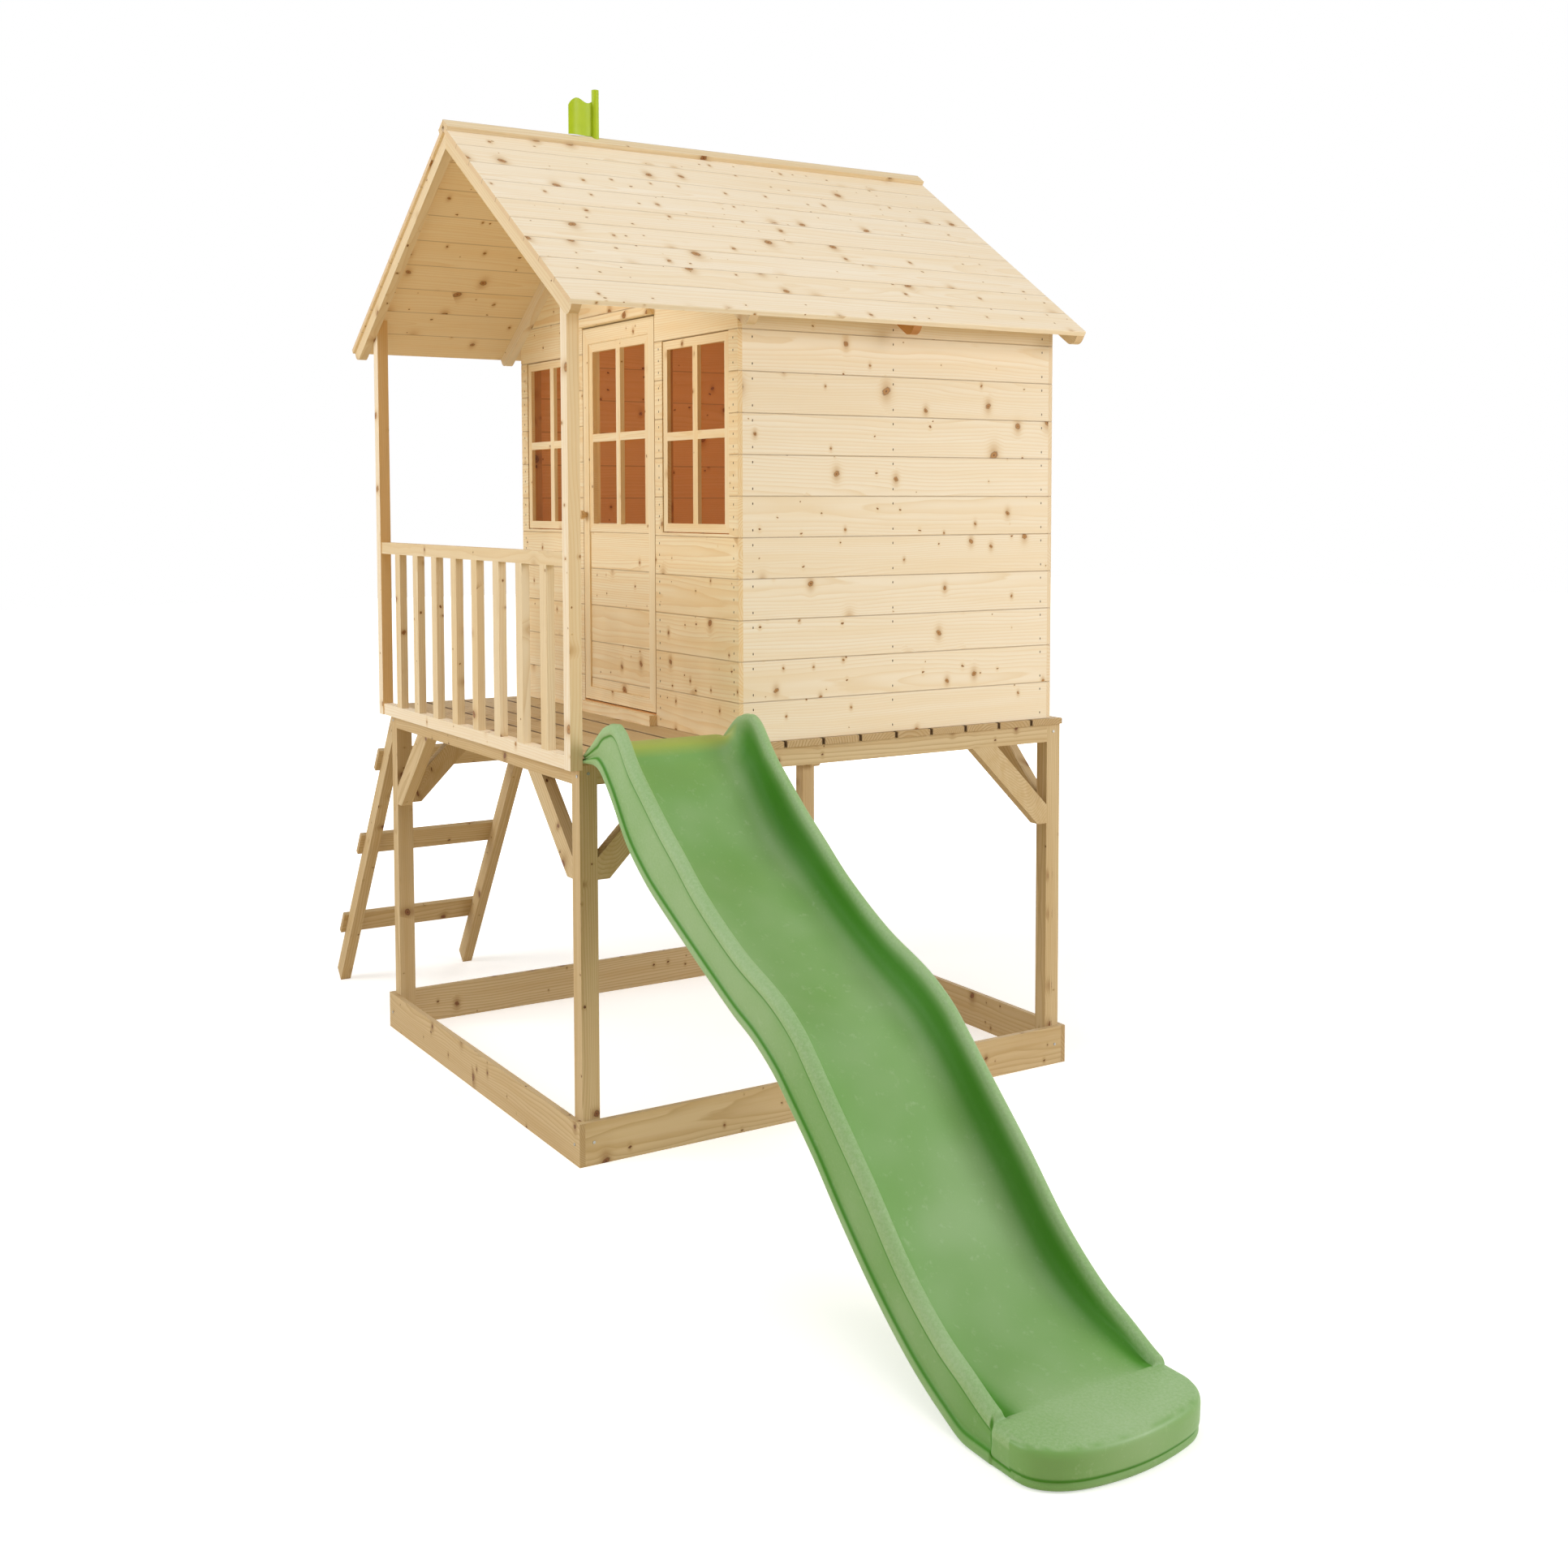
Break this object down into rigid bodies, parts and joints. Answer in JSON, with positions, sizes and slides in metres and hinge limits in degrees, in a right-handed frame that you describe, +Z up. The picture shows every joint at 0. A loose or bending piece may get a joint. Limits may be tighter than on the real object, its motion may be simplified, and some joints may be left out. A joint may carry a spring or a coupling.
{
  "type": "stilt playhouse",
  "caption": "Wooden playhouse on a stilt frame, with a veranda and railing, a swinging door, gabled board roof, leaning ladder on one side and a wavy plastic slide on the other",
  "frame": {"origin": "on the ground, under the middle of the box round the whole playhouse", "axes": "+X towards the slide, -X towards the ladder, -Y towards the veranda railing, +Y towards the back wall, +Z up"},
  "size_m": [4.4422, 1.8895, 3.2882],
  "materials": {
    "pine": "planed, bare, pale",
    "treated_pine": "pressure-treated, sawn and planed, matt",
    "slide_plastic": "moulded, satin",
    "flag_plastic": "moulded, satin",
    "clear_sheet": "clear, smooth",
    "hinge_steel": "zinc plated",
    "screw_steel": "zinc plated"
  },
  "bodies": {
    "house": {"back_rafters": "pine", "back_wall_boards": "pine", "back_wall_stud": "pine", "balusters": "pine", "base_board_back": "treated_pine", "base_board_front": "treated_pine", "base_board_left": "treated_pine", "base_board_right": "treated_pine", "bottom_rail": "pine", "braces_back_left": "treated_pine", "braces_back_right": "treated_pine", "braces_front_left": "treated_pine", "braces_front_right": "treated_pine", "deck_boards": "treated_pine", "deck_joist": "treated_pine", "doorway_frame": "pine", "flag": "flag_plastic", "frame_screws": "screw_steel", "front_boards_left": "pine", "front_boards_right": "pine", "front_gable_boards": "pine", "front_rafters": "pine", "header_batten": "pine", "jamb_hinges": "hinge_steel", "ladder_rail_back": "treated_pine", "ladder_rail_front": "treated_pine", "ladder_rungs": "treated_pine", "left_wall_boards": "pine", "left_wall_studs": "pine", "middle_rafters": "pine", "ridge_cap": "pine", "right_wall_boards": "pine", "right_wall_studs": "pine", "rim_beam_back": "treated_pine", "rim_beam_front": "treated_pine", "rim_beam_left": "treated_pine", "rim_beam_right": "treated_pine", "roof_boards_left": "pine", "roof_boards_right": "pine", "slide": "slide_plastic", "slide_screws": "screw_steel", "stilt_post_back_left": "treated_pine", "stilt_post_back_right": "treated_pine", "stilt_post_front_left": "treated_pine", "stilt_post_front_right": "treated_pine", "threshold_batten": "pine", "top_rail": "pine", "veranda_post_left": "pine", "veranda_post_right": "pine", "wall_rafters": "pine", "window_frame_left": "pine", "window_frame_right": "pine", "window_pane_left": "clear_sheet", "window_pane_right": "clear_sheet"},
    "door": {"door_boards": "pine", "door_frame": "pine", "door_hinges": "hinge_steel", "door_knob": "pine", "door_pane": "clear_sheet", "door_window_frame": "pine"}
  },
  "joints": [
    {"name": "door_swing", "type": "hinge", "parent": "house", "child": "door", "pos_m": [-0.38935, -0.2887, 1.8795], "axis": [0, 0, -1], "range_deg": [0, 100]}
  ]
}
